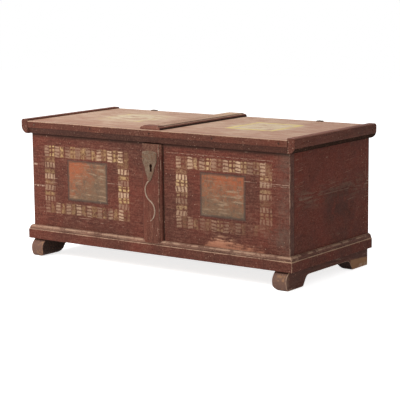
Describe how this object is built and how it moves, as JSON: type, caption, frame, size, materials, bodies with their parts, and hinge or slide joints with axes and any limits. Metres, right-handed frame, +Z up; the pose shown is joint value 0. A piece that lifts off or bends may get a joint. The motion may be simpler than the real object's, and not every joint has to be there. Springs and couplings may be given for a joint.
{
  "type": "dowry chest",
  "caption": "Painted plank dowry chest on runner feet, with a hinged lipped lid, an inner till and a front lock with a sliding bolt.",
  "frame": {"origin": "on the floor, under the middle of the whole chest's bounding box", "axes": "+X to the right along the front, +Y from the front to the back, +Z up"},
  "size_m": [1.165, 0.535, 0.5045],
  "materials": {
    "painted_wood": "worn matt oxblood milk paint with stencilled borders, chipped to pale wood at the edges",
    "bare_wood": "aged bare softwood, unpainted inside, below and behind",
    "iron": "hand-forged wrought iron, dull and lightly rusted"
  },
  "bodies": {
    "chest": {"back_lower_board": "bare_wood", "back_upper_board": "bare_wood", "base_moulding_front": "painted_wood", "base_moulding_left": "painted_wood", "base_moulding_nails": "iron", "base_moulding_right": "painted_wood", "bottom_back_board": "bare_wood", "bottom_front_board": "bare_wood", "carcass_nails": "iron", "escutcheon": "iron", "escutcheon_tacks": "iron", "front_lower_board": "painted_wood", "front_upper_board": "painted_wood", "hinge_back_tacks": "iron", "hinge_left_back_leaf": "iron", "hinge_left_pin": "iron", "hinge_right_back_leaf": "iron", "hinge_right_pin": "iron", "left_end_lower_board": "painted_wood", "left_end_upper_board": "painted_wood", "left_runner": "painted_wood", "lock_keepers": "iron", "lock_plate": "iron", "lock_spring": "iron", "lock_tacks": "iron", "pilaster": "painted_wood", "pilaster_nails": "iron", "right_end_lower_board": "painted_wood", "right_end_upper_board": "painted_wood", "right_runner": "painted_wood", "runner_pegs": "bare_wood", "till_bottom": "bare_wood", "till_side": "bare_wood"},
    "lid": {"hinge_left_lid_leaf": "iron", "hinge_lid_tacks": "iron", "hinge_right_lid_leaf": "iron", "lid_back_board": "painted_wood", "lid_batten": "painted_wood", "lid_batten_nails": "iron", "lid_cleat_nails": "iron", "lid_front_board": "painted_wood", "lid_front_moulding": "painted_wood", "lid_left_cleat": "painted_wood", "lid_moulding_nails": "iron", "lid_right_cleat": "painted_wood", "lock_staple": "iron", "staple_tacks": "iron"},
    "till_lid": {"till_lid": "bare_wood"},
    "lock_bolt": {"lock_bolt": "iron"}
  },
  "joints": [
    {"name": "lid_hinge", "type": "hinge", "parent": "chest", "child": "lid", "pos_m": [0, 0.2615, 0.465], "axis": [-1, 0, 0], "range_deg": [0, 100]},
    {"name": "till_lid_hinge", "type": "hinge", "parent": "chest", "child": "till_lid", "pos_m": [-0.518, 0.005, 0.331], "axis": [0, -1, 0], "range_deg": [0, 90]},
    {"name": "lock_bolt_slide", "type": "slide", "parent": "chest", "child": "lock_bolt", "axis": [1, 0, 0], "range_m": [0, 0.02]}
  ]
}
